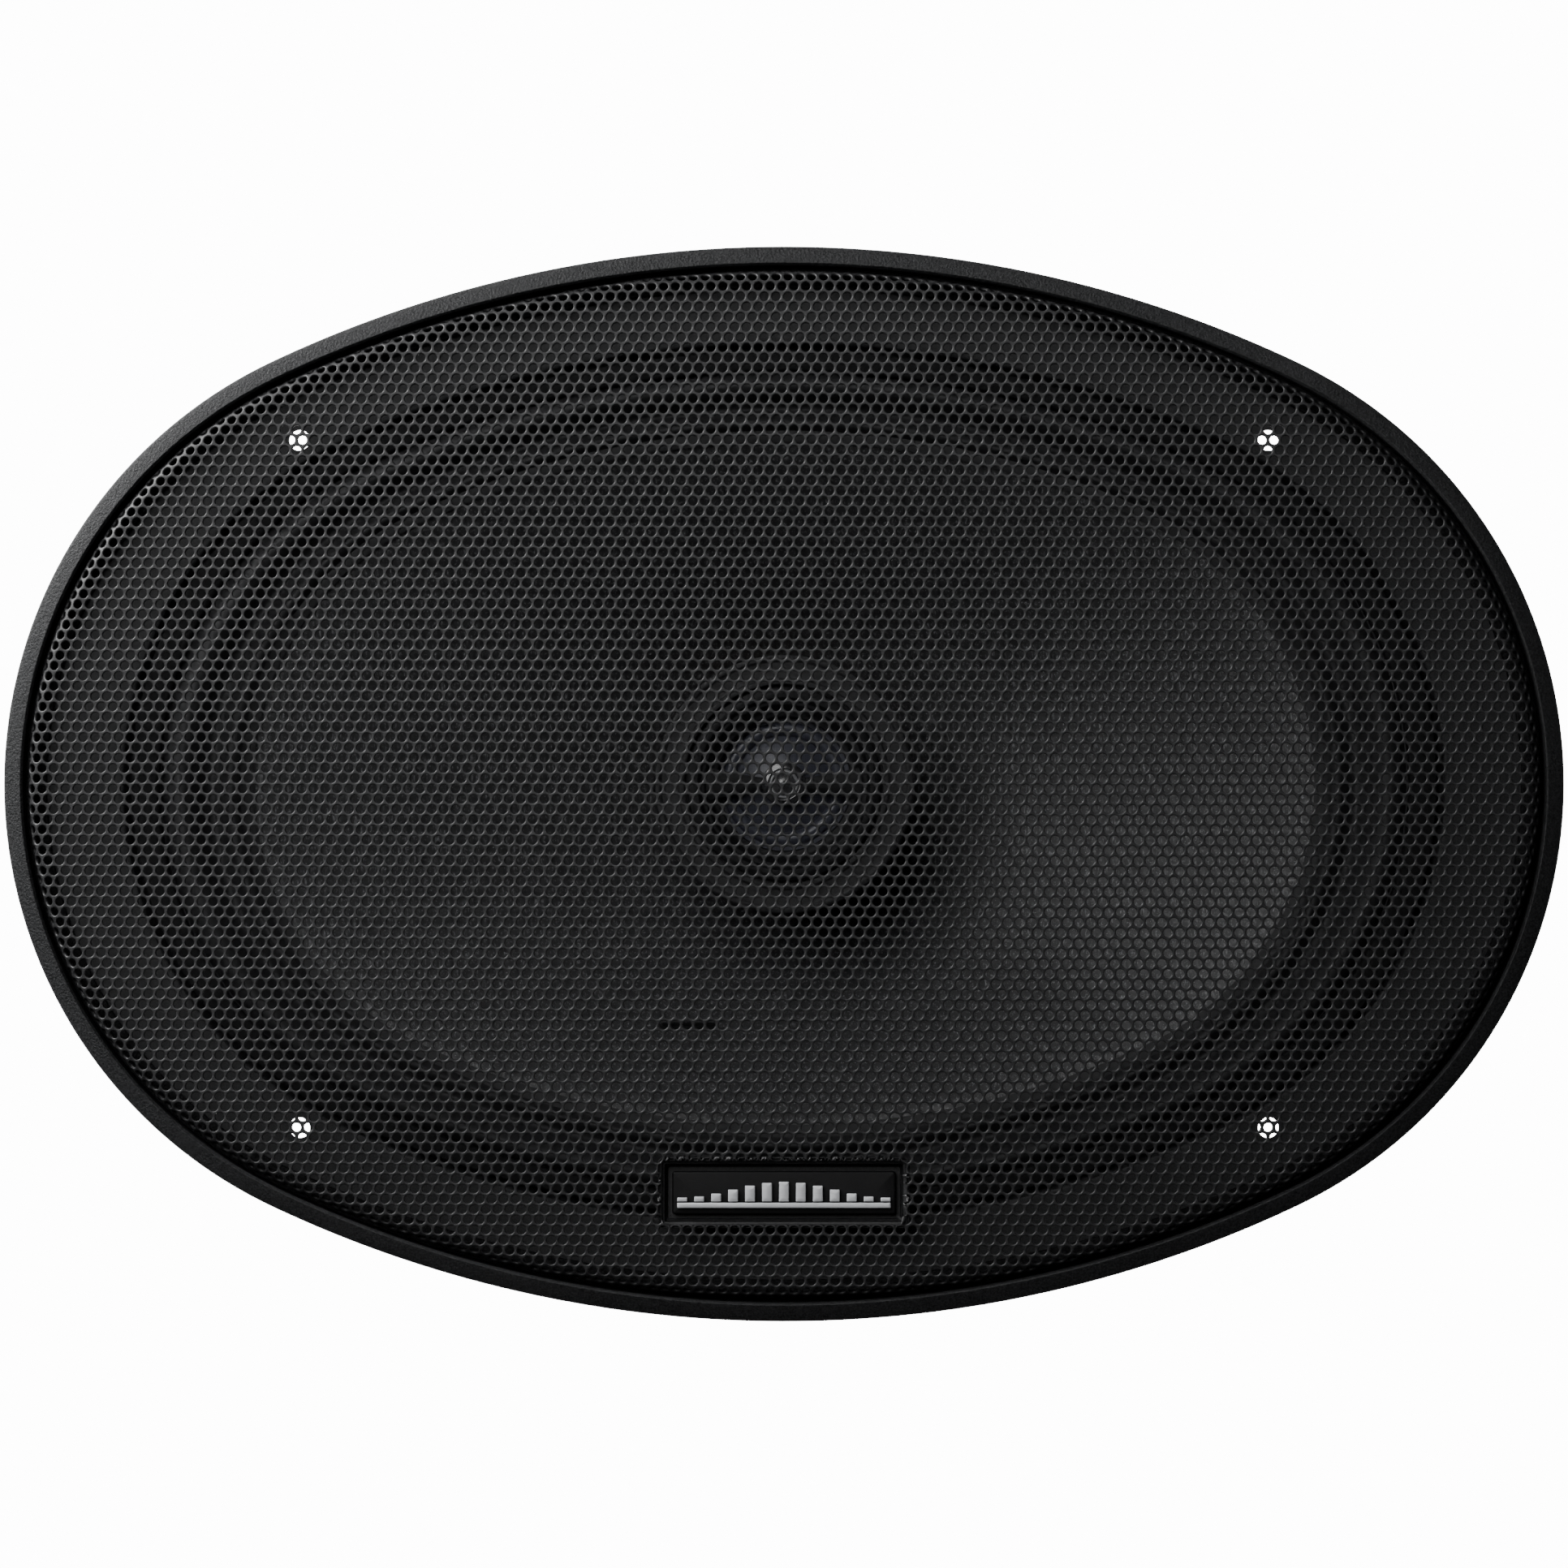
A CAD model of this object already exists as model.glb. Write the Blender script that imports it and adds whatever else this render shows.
import math

import bmesh
import bpy
import numpy as np
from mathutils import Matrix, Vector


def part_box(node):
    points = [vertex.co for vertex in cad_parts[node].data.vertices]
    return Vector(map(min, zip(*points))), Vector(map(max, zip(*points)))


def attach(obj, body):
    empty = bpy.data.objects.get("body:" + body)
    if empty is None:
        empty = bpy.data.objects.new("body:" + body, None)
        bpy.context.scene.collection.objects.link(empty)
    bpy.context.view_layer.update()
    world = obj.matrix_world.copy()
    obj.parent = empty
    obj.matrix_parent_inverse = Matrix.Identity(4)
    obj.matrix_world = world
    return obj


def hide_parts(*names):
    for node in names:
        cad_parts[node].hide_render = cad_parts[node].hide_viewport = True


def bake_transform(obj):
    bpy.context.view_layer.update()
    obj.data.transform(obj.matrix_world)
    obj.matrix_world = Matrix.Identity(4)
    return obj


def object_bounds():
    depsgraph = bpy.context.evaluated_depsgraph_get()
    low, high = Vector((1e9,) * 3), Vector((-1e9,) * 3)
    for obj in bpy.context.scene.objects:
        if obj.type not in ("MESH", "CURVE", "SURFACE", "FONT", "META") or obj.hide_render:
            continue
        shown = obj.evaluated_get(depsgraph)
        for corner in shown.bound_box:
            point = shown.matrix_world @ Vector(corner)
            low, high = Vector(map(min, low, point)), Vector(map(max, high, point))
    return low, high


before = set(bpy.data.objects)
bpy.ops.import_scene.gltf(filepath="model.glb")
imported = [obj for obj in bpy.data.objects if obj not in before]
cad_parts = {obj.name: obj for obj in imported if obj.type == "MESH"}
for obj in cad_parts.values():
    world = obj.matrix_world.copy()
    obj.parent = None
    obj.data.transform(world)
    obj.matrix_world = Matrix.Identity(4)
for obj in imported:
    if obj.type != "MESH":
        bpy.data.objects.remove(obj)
cadBox = [list(corner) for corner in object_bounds()]
mm = 0.001  # every size below is in millimetres until it becomes a mesh
fullTurn = 2 * math.pi


def span(node):  # lowest and highest corner of a CAD node, in millimetres
    low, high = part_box(node)
    return np.array(low) / mm, np.array(high) / mm


# Shapes: points worked out as whole arrays.

endRoundness = 0.29  # an oval's end radius is short - endRoundness * (long - short)


# The four-arc oval's arcs for halves long and short: end centre and radius, side centre and radius,
# and the angle where they change. It is the same angle for every oval of the family.
def ovalArcs(long, short):
    spread = long - short
    reach = (1 + 2 * endRoundness) / (2 * endRoundness) * spread
    change = math.atan((1 + 2 * endRoundness) / (2 * endRoundness * (1 + endRoundness)))
    return (1 + endRoundness) * spread, short - endRoundness * spread, reach, short + reach, change


# Point at turn 0..1 of the oval: each quarter is half end arc and half side arc, mirrored into place.
def ovalPoints(long, short, turn):
    endCentre, endRadius, sideCentre, sideRadius, change = ovalArcs(long, short)
    quarter = np.floor(turn * 4).astype(int) % 4
    along = turn * 4 - np.floor(turn * 4)
    share = np.where(quarter % 2 == 1, 1 - along, along)
    onEnd = share < 0.5
    angle = np.where(onEnd, change * 2 * share, change + (math.pi / 2 - change) * (2 * share - 1))
    radius = np.where(onEnd, endRadius, sideRadius)
    x = radius * np.cos(angle) + np.where(onEnd, endCentre, 0)
    y = radius * np.sin(angle) - np.where(onEnd, 0, sideCentre)
    return np.where((quarter == 1) | (quarter == 2), -x, x), np.where(quarter > 1, -y, y)


# Share s of the oval through (x, y): the root of |p - s c| = s r for the arc that faces the point.
def ovalShare(x, y, long, short):
    endCentre, endRadius, sideCentre, sideRadius, change = ovalArcs(long, short)
    x, y = np.abs(x), np.abs(y)
    edge = math.atan2(endRadius * math.sin(change), endCentre + endRadius * math.cos(change))
    onEnd = np.arctan2(y, x) < edge
    square = np.where(onEnd, endCentre**2 - endRadius**2, sideCentre**2 - sideRadius**2)
    linear = np.where(onEnd, -2 * endCentre * x, 2 * sideCentre * y)
    return (-linear - np.sqrt(linear**2 - 4 * square * (x * x + y * y))) / (2 * square)


# Signed distance outside the oval, with the outward direction there.
def ovalDistance(x, y, long, short):
    endCentre, endRadius, sideCentre, sideRadius, change = ovalArcs(long, short)
    endX, sideY = np.abs(x) - endCentre, np.abs(y) + sideCentre
    onEnd = np.arctan2(np.abs(y), endX) < change
    dx, dy = np.where(onEnd, endX, np.abs(x)), np.where(onEnd, np.abs(y), sideY)
    length = np.hypot(dx, dy)
    away = length - np.where(onEnd, endRadius, sideRadius)
    return away, dx / length * np.sign(x), dy / length * np.sign(y)


# Rounds the corners of a line of points: each corner p becomes a quadratic curve from a to b, which lie
# on its two sides at the given radius, or at 0.45 of a short side.
def rounded(points, radius, loop=True, bend=4):
    points = np.array(points, float)
    before, after = np.roll(points, 1, 0), np.roll(points, -1, 0)
    t = np.linspace(0, 1, bend + 1)[None, :, None]

    def towards(other):
        step = other - points
        length = np.maximum(np.linalg.norm(step, axis=1, keepdims=True), 1e-9)
        return points + step * np.minimum(np.reshape(radius, (-1, 1)) / length, 0.45)

    a, p, b = towards(before)[:, None], points[:, None], towards(after)[:, None]
    curve = (1 - t) ** 2 * a + 2 * t * (1 - t) * p + t * t * b
    if not loop:
        curve[0], curve[-1] = points[0], points[-1]
    return curve.reshape(-1, points.shape[1])


# A section of (long, short, z) rows carried round the oval: rows x steps x 3.
def ovalSweep(section, steps, turns=None):
    section = np.array(section, float)
    turn = np.arange(steps) / steps if turns is None else turns
    x, y = ovalPoints(section[:, :1], section[:, 1:2], turn[None, :])
    return np.stack([x, y, np.broadcast_to(section[:, 2:], x.shape)], -1)


# A section of (radius, z) rows turned round the speaker's axis: r cos a, r sin a, z.
def turnSweep(section, steps=96, centre=(0, 0)):
    section = np.array(section, float)
    angle = np.arange(steps) / steps * fullTurn
    x = centre[0] + section[:, :1] * np.cos(angle)
    y = centre[1] + section[:, :1] * np.sin(angle)
    return np.stack([x, y, np.broadcast_to(section[:, 1:], x.shape)], -1)


# A loop round a rectangle with round corners: the corner arcs' points in order, at height z.
def blockLoop(halfX, halfY, corner, z, centre=(0, 0), bend=4):
    angle = (np.arange(4)[:, None] + np.linspace(0, 1, bend + 1)[None, :]) * math.pi / 2
    signX, signY = np.array([1, -1, -1, 1])[:, None], np.array([1, 1, -1, -1])[:, None]
    x = centre[0] + signX * (halfX - corner) + corner * np.cos(angle)
    y = centre[1] + signY * (halfY - corner) + corner * np.sin(angle)
    return np.stack([x, y, np.full_like(x, z)], -1).reshape(-1, 3)


# A block with rounded edges: loops that swell out over a quarter circle at the bottom and in at the top.
def blockGrid(halfX, halfY, bottom, top, edge, centre=(0, 0), corner=None, bend=3):
    corner = edge * 1.5 if corner is None else corner
    angle = np.linspace(0, math.pi / 2, bend + 1)
    inset = np.concatenate([[min(halfX, halfY)], edge * (1 - np.sin(angle)), edge * (1 - np.cos(angle))])
    height = np.concatenate([[bottom], bottom + edge * (1 - np.cos(angle)), top - edge * (1 - np.sin(angle))])
    inset, height = np.append(inset, min(halfX, halfY)), np.append(height, top)
    rows = [
        blockLoop(halfX - i, halfY - i, min(max(corner - i, 0.0), halfX - i, halfY - i), h, centre)
        for i, h in zip(inset, height)
    ]
    return np.stack(rows)


# A round tube along a path: each point's circle stands square to the path, on a frame carried along it.
def tubeGrid(path, radius, around=12):
    path = np.array(path, float)
    along = np.gradient(path, axis=0)
    along /= np.linalg.norm(along, axis=1, keepdims=True)
    side = np.zeros_like(path)
    start = np.cross(along[0], [1, 0, 0] if abs(along[0][0]) < 0.9 else [0, 1, 0])
    for i in range(len(path)):
        start = start - along[i] * start.dot(along[i])
        start = start / np.linalg.norm(start)
        side[i] = start
    up = np.cross(along, side)
    angle = (np.arange(around) / around * fullTurn)[None, :, None]
    radius = np.broadcast_to(np.reshape(radius, (-1, 1, 1)), (len(path), 1, 1))
    rim = path[:, None] + radius * (np.cos(angle) * side[:, None] + np.sin(angle) * up[:, None])
    ends = np.broadcast_to(path[[0, -1], None], (2, around, 3))
    return np.concatenate([ends[:1], rim, ends[1:]])


# A smooth curve through a list of points: a Catmull-Rom cubic for each stretch.
def smoothPath(points, steps=10):
    points = np.array(points, float)
    padded = np.vstack([2 * points[0] - points[1], points, 2 * points[-1] - points[-2]])
    a, b, c, d = (padded[i : len(padded) - 3 + i, None] for i in range(4))
    t = (np.arange(steps) / steps)[None, :, None]
    curve = b + t * (c - a) / 2 + t**2 * (a - 2.5 * b + 2 * c - d / 2) + t**3 * (1.5 * (b - c) + (d - a) / 2)
    return np.vstack([curve.reshape(-1, 3), points[-1:]])


# The loop of points round a block of a grid: rows r0 to r1 and columns c0 to c1, past the last column too.
def blockBorder(grid, r0, r1, c0, c1):
    columns = grid.shape[1]
    down, over = np.arange(r0, r1), np.arange(c0, c1)
    top, foot = grid[r0, over % columns], grid[r1, (over + 1)[::-1] % columns]
    far, near = grid[down, c1 % columns], grid[(down + 1)[::-1], c0 % columns]
    return np.concatenate([top, far, foot, near])


# Rings of points from one loop to another, the same number of points in both.
def between(outer, inner, rings=5):
    share = np.linspace(0, 1, rings)[:, None, None]
    return outer + (inner - outer) * share


class Skin:  # gathers grids of points and makes one mesh of them
    def __init__(self):
        self.points, self.faces, self.count = [], [], 0

    def add(self, points, faces):
        self.faces += (faces + self.count).tolist()
        self.points.append(points)
        self.count += len(points)
        return self

    def grid(self, points, wrapRows=False, wrapColumns=True, skip=None):
        rows, columns = points.shape[:2]
        index = np.arange(rows * columns).reshape(rows, columns)
        index = np.vstack([index, index[:1]]) if wrapRows else index
        index = np.hstack([index, index[:, :1]]) if wrapColumns else index
        quads = np.stack([index[:-1, :-1], index[:-1, 1:], index[1:, 1:], index[1:, :-1]], -1)
        quads = quads.reshape(-1, 4) if skip is None else quads[~skip]
        return self.add(points.reshape(-1, 3), quads)

    # body: None for a piece that bends between two bodies
    # crisp: open edges longer than this turn sharply into the sheet's edge, and shorter ones stay round
    # sheet: None for a closed body, or the thickness given below an open, upward-facing surface
    def piece(self, name, finish, body, nodes=(), sheet=None, crease=35, crisp=0.0):
        mesh = bpy.data.meshes.new(name)
        mesh.from_pydata((np.concatenate(self.points) * mm).tolist(), [], self.faces)
        work = bmesh.new()
        work.from_mesh(mesh)
        bmesh.ops.remove_doubles(work, verts=work.verts, dist=2e-6)
        bmesh.ops.dissolve_degenerate(work, edges=work.edges, dist=1e-6)
        bmesh.ops.recalc_face_normals(work, faces=work.faces)
        if sheet and sum(face.normal.z * face.calc_area() for face in work.faces) < 0:
            bmesh.ops.reverse_faces(work, faces=work.faces)
        work.to_mesh(mesh)
        work.free()
        mesh.materials.append(finish)
        mesh.polygons.foreach_set("use_smooth", [True] * len(mesh.polygons))
        mesh.set_sharp_from_angle(angle=math.radians(crease))
        edges, ends = np.empty(len(mesh.loops), int), np.empty(len(mesh.edges) * 2, int)
        places, sharp = np.empty(len(mesh.vertices) * 3), np.empty(len(mesh.edges), bool)
        mesh.loops.foreach_get("edge_index", edges)
        mesh.edges.foreach_get("vertices", ends)
        mesh.vertices.foreach_get("co", places)
        mesh.edges.foreach_get("use_edge_sharp", sharp)
        ends = places.reshape(-1, 3)[ends.reshape(-1, 2)]
        length = np.linalg.norm(ends[:, 0] - ends[:, 1], axis=1) / mm
        border = (np.bincount(edges, minlength=len(sharp)) == 1) & (length > crisp)
        mesh.edges.foreach_set("use_edge_sharp", sharp | border)
        made = bpy.data.objects.new(name, mesh)
        bpy.context.collection.objects.link(made)
        if sheet:
            wall = made.modifiers.new("Wall", "SOLIDIFY")
            wall.thickness, wall.offset = sheet * mm, -1
        if body:
            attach(made, body)
        if nodes:
            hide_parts(*nodes)
        return made


# Finishes: shader sums as ordinary sums.


class Wire:  # a socket that takes part in sums
    def __init__(self, tree, socket):
        self.tree, self.socket = tree, socket

    def sum(self, operation, other, swap=False, third=None):
        node = self.tree.nodes.new("ShaderNodeMath")
        node.operation = operation
        items = (other, self) if swap else (self, other)
        for slot, item in zip(node.inputs, (*items, third)):
            plug(self.tree, slot, item)
        return Wire(self.tree, node.outputs[0])

    def __add__(self, other):
        return self.sum("ADD", other)

    def __sub__(self, other):
        return self.sum("SUBTRACT", other)

    def __rsub__(self, other):
        return self.sum("SUBTRACT", other, swap=True)

    def __mul__(self, other):
        return self.sum("MULTIPLY", other)

    __radd__, __rmul__ = __add__, __mul__


def plug(tree, slot, item):
    if isinstance(item, Wire):
        tree.links.new(item.socket, slot)
    elif item is not None:
        slot.default_value = item


class Finish:  # one Principled material; constants go straight onto its sockets
    def __init__(self, name, **constants):
        self.material = bpy.data.materials.new(name)
        self.material.use_nodes = True
        self.tree = self.material.node_tree
        self.shader = self.tree.nodes["Principled BSDF"]
        for key, value in constants.items():
            self.shader.inputs[socketNames[key]].default_value = value
        self.place = self.node("ShaderNodeTexCoord", out="Object")

    # any node: its type, its settings, then its sockets by name or number
    def node(self, kind, settings=None, sockets=None, out=0):
        node = self.tree.nodes.new(kind)
        for key, value in (settings or {}).items():
            setattr(node, key, value)
        for key, value in (sockets or {}).items():
            plug(self.tree, node.inputs[key], value)
        return Wire(self.tree, node.outputs[out])

    def noise(self, scale, detail=3.0, rough=0.55, place=None):
        sockets = {"Vector": place or self.place, "Scale": scale, "Detail": detail, "Roughness": rough}
        return self.node("ShaderNodeTexNoise", None, sockets, out="Fac")

    def cells(self, scale, place=None, feature="F1", out="Distance"):
        sockets = {"Vector": place or self.place, "Scale": scale}
        return self.node("ShaderNodeTexVoronoi", {"feature": feature}, sockets, out=out)

    def stretched(self, scale, turn=0.0):  # coordinates with their own scale along each axis
        sockets = {"Vector": self.place, "Scale": scale, "Rotation": (0, 0, turn)}
        return self.node("ShaderNodeMapping", None, sockets)

    def axis(self, name, place=None):
        return self.node("ShaderNodeSeparateXYZ", None, {"Vector": place or self.place}, out=name)

    def radius(self):  # distance from the speaker's axis
        flat = self.stretched((1, 1, 0))
        return self.node("ShaderNodeVectorMath", {"operation": "LENGTH"}, {0: flat}, out="Value")

    def wave(self, value, pitch):  # a ridge every pitch metres: half of 1 + sin
        return (value * (fullTurn / pitch)).sum("SINE", None) * 0.5 + 0.5

    def step(self, value, low, high):
        sockets = {"Value": value, "From Min": low, "From Max": high}
        return self.node("ShaderNodeMapRange", {"interpolation_type": "SMOOTHSTEP"}, sockets)

    def mix(self, factor, first, second):
        node = self.tree.nodes.new("ShaderNodeMix")
        node.data_type = "RGBA"
        for key, value in (("Factor", factor), ("A", colourOf(first)), ("B", colourOf(second))):
            slot = [s for s in node.inputs if s.name == key and (key == "Factor" or s.type == "RGBA")][0]
            plug(self.tree, slot, value)
        return Wire(self.tree, [s for s in node.outputs if s.type == "RGBA"][0])

    def colour(self, value):
        plug(self.tree, self.shader.inputs["Base Color"], colourOf(value))
        return self

    def rough(self, value):
        plug(self.tree, self.shader.inputs["Roughness"], value)
        return self

    def bump(self, height, strength, distance):
        sockets = {"Height": height, "Strength": strength, "Distance": distance}
        plug(self.tree, self.shader.inputs["Normal"], self.node("ShaderNodeBump", None, sockets))
        return self


socketNames = {
    "metallic": "Metallic",
    "roughness": "Roughness",
    "specular": "Specular IOR Level",
}


def colourOf(value):
    return value if isinstance(value, Wire) else (*value, 1)


# Moulded plastic with a spark-eroded grain: fine cells and finer noise lift the surface.
def grainedPlastic(name, dark, light, grain=3200, depth=0.00005, **constants):
    finish = Finish(name, **constants)
    fine, coarse = finish.noise(grain, 4.0, 0.7), finish.noise(90, 3.0)
    speck = finish.step(fine, 0.36, 0.64)
    finish.colour(finish.mix(coarse * 0.2 + speck * 0.8, dark, light))
    finish.rough(0.40 + fine * 0.16 + coarse * 0.08)
    return finish.bump(fine + finish.cells(grain * 0.6) * 0.6, 0.6, depth).material


# Powder coat on sheet steel: a faint orange peel, with small pits.
def powderCoat(name, dark, light, peel=900, depth=0.00004, **constants):
    finish = Finish(name, **constants)
    skin, dust = finish.noise(peel, 3.0), finish.noise(4200, 3.0)
    speck = finish.step(dust, 0.38, 0.66)
    finish.colour(finish.mix(skin * 0.25 + speck * 0.75, dark, light))
    finish.rough(0.42 + dust * 0.2)
    return finish.bump(skin + dust * 0.35, 0.5, depth).material


# Rubber: soft mottling, a dusty bloom in broad patches and a fine texture.
def softRubber(name, dark, light, **constants):
    finish = Finish(name, **constants)
    bloom, fine = finish.noise(60, 4.0), finish.noise(2600, 3.0)
    finish.colour(finish.mix(bloom * 0.6 + fine * 0.4, dark, light))
    finish.rough(0.5 + bloom * 0.15 + fine * 0.12)
    return finish.bump(fine, 0.35, 0.00005).material


# Brushed or turned metal: fine grooves round the axis, with stains of slow noise.
def turnedMetal(name, dark, light, pitch=0.0004, **constants):
    finish = Finish(name, metallic=1.0, **constants)
    grooves = finish.wave(finish.radius() + finish.noise(300) * 0.0002, pitch)
    stain, fine = finish.noise(70, 4.0), finish.noise(4000, 3.0)
    finish.colour(finish.mix(stain * 0.7 + fine * 0.3, dark, light))
    finish.rough(0.26 + stain * 0.16 + fine * 0.1)
    return finish.bump(grooves * 0.5 + fine * 0.5, 0.25, 0.00003).material


# Woven glass-fibre cone: tows cross at right angles, and short bright fibres glint in the resin.
def wovenFibre(name):
    look = {"tow": 0.0011, "dark": (0.008, 0.0081, 0.0085), "resin": (0.022, 0.0224, 0.0235),
        "glint": (0.27, 0.275, 0.285)}
    finish = Finish(name, specular=0.6)
    x, y = finish.axis("X"), finish.axis("Y")
    warp, weft = finish.wave(x, look["tow"]), finish.wave(y, look["tow"])
    twill = finish.wave(x + y, look["tow"] * 2)
    weave = warp * twill + weft * (1 - twill)
    flecks = finish.step(finish.noise(3400, 3.0, 0.6), 0.60, 0.70)
    fibres = finish.step(finish.noise(3000, 2.0, 0.6, finish.stretched((1, 0.25, 1), 0.7)), 0.55, 0.72)
    bright = (flecks * 0.7 + fibres * 0.5).sum("MINIMUM", 1.0)
    base = finish.mix(weave * 0.7 + finish.noise(40) * 0.3, look["dark"], look["resin"])
    finish.colour(finish.mix(bright * (0.35 + weave * 0.65), base, look["glint"]))
    finish.rough(0.46 + weave * 0.16 + flecks * 0.1)
    return finish.bump(weave * 0.7 + bright * 0.5, 0.5, 0.00012).material


# Bare or dipped cloth: two thread directions over and under each other.
def cloth(name, dark, light, thread=0.0006, depth=0.00012, **constants):
    finish = Finish(name, **constants)
    x, y = finish.axis("X"), finish.axis("Y")
    over = finish.wave(x, thread) * finish.wave(y, thread * 2) + finish.wave(y, thread) * finish.wave(x,
        thread * 2)
    tint = finish.noise(120, 4.0)
    finish.colour(finish.mix(over * 0.6 + tint * 0.4, dark, light))
    finish.rough(0.62 + tint * 0.2)
    return finish.bump(over + finish.noise(5000) * 0.4, 0.5, depth).material


bezelPlastic = grainedPlastic("grained black bezel", (0.0008, 0.0008, 0.0009), (0.0095, 0.0097, 0.0101),
    4000, 0.00015, specular=0.07)
meshCoat = powderCoat("black powder coat on the mesh", (0.0006, 0.0006, 0.0007), (0.0085, 0.0086, 0.0090),
    specular=0.13)
badgePlastic = grainedPlastic("badge black", (0.0008, 0.0008, 0.0009), (0.0028, 0.0028, 0.0030), 5200,
    0.00002, specular=0.06)
coneFibre = wovenFibre("woven cone")
surroundRubber = softRubber("surround rubber", (0.009, 0.009, 0.0095), (0.023, 0.023, 0.0242), specular=0.3)
gasketFoam = softRubber("gasket foam", (0.003, 0.003, 0.0032), (0.010, 0.010, 0.0105), specular=0.08)
basketCoat = powderCoat("black basket coat", (0.008, 0.008, 0.0085), (0.021, 0.0213, 0.0222), 700, 0.00006,
    specular=0.18)
tweeterPlastic = grainedPlastic("tweeter black", (0.005, 0.005, 0.0055), (0.013, 0.013, 0.014), 4200,
    0.00003, specular=0.25)


# Satin silver of the badge bars: fine strokes along X and a little tarnish.
def satinSilver(name):
    finish = Finish(name, metallic=0.3, specular=0.6)
    strokes = finish.noise(900, 3.0, 0.6, finish.stretched((0.06, 4, 4)))
    finish.colour(finish.mix(strokes * 0.7 + finish.noise(400) * 0.3, (0.10, 0.102, 0.106),
        (0.25, 0.254, 0.262)))
    finish.rough(0.30 + strokes * 0.18)
    return finish.bump(strokes, 0.3, 0.00002).material


# Coated silk of the dome: a fine weave under a clear damping coat.
def coatedSilk(name):
    finish = Finish(name, specular=0.26)
    thread = 0.00028
    weave = finish.wave(finish.axis("X"), thread) + finish.wave(finish.axis("Y"), thread)
    tint = finish.noise(350, 3.0)
    finish.colour(finish.mix(weave * 0.3 + tint * 0.4, (0.016, 0.017, 0.024), (0.050, 0.052, 0.066)))
    finish.rough(0.24 + tint * 0.12)
    return finish.bump(weave, 0.2, 0.00002).material


badgeSilver = satinSilver("badge silver")
domeSilk = coatedSilk("dome silk")
print("finishes made")


# Camera, lights and floor.

studio = {
    "distance": 1.6,  # camera above the cover, in metres
    "frameWidth": 238.45,  # millimetres across the picture
    "floorGlow": 0.12,
    "floorWhite": 14.0,
    "worldGlow": 0.02,
    "keyPower": 26.0,
    "rakePower": 26.0,
    "fillPower": 0.15,
}


def makeStudio():
    high = cadBox[1][2]
    camera = bpy.data.objects.new("camera", bpy.data.cameras.new("camera"))
    camera.location = (0, 0, high + studio["distance"])
    camera.data.sensor_width = 36.0
    camera.data.lens = 36.0 * (studio["distance"] + 0.005) / (studio["frameWidth"] * mm)
    camera.data.clip_end = 20.0
    bpy.context.collection.objects.link(camera)
    bpy.context.scene.camera = camera
    floorFinish = Finish("pale floor", roughness=0.8)
    floorFinish.colour(floorFinish.mix(floorFinish.noise(3), (0.80, 0.80, 0.80), (0.84, 0.84, 0.84)))
    floorFinish.shader.inputs["Emission Color"].default_value = (1, 1, 1, 1)
    floorFinish.shader.inputs["Emission Strength"].default_value = studio["floorGlow"]
    # the camera sees a white floor, but the floor sends little light back onto the speaker
    tree = floorFinish.material.node_tree
    output = next(node for node in tree.nodes if node.type == "OUTPUT_MATERIAL")
    white = floorFinish.node("ShaderNodeEmission", None, {"Strength": studio["floorWhite"]}, out="Emission")
    seen = floorFinish.node("ShaderNodeLightPath", out="Is Camera Ray")
    lit = Wire(tree, floorFinish.shader.outputs["BSDF"])
    mixed = floorFinish.node("ShaderNodeMixShader", None, {0: seen, 1: lit, 2: white}, out="Shader")
    plug(tree, output.inputs["Surface"], mixed)
    mesh = bpy.data.meshes.new("floor")
    corners = np.array([[-1, -1, 0], [1, -1, 0], [1, 1, 0], [-1, 1, 0]]) * 4.0
    mesh.from_pydata(corners.tolist(), [], [(0, 1, 2, 3)])
    mesh.materials.append(floorFinish.material)
    floor = bpy.data.objects.new("floor", mesh)
    bpy.context.collection.objects.link(floor)
    world = bpy.data.worlds.new("studio")
    world.use_nodes = True
    world.node_tree.nodes["Background"].inputs["Color"].default_value = (0.9, 0.95, 1, 1)
    world.node_tree.nodes["Background"].inputs["Strength"].default_value = studio["worldGlow"]
    bpy.context.scene.world = world
    softLight("key", (-0.37, 0.45, 1.04), 0.9, studio["keyPower"])
    softLight("rake", (-0.49, 0.35, 0.20), 0.15, studio["rakePower"])
    softLight("fill", (0.7, -0.8, 0.9), 0.8, studio["fillPower"])


def softLight(name, place, size, power):
    lamp = bpy.data.lights.new(name, "AREA")
    lamp.shape, lamp.size, lamp.energy = "DISK", size, power
    light = bpy.data.objects.new(name, lamp)
    light.location = place
    aim = -np.array(place)
    yaw, pitch = math.atan2(aim[0], -aim[1]), math.atan2(math.hypot(aim[0], aim[1]), -aim[2])
    light.rotation_euler = (pitch, 0, yaw + math.pi)
    light.visible_camera = False
    bpy.context.collection.objects.link(light)


makeStudio()
print("camera, lights and floor placed")

# Grille cover.

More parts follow.
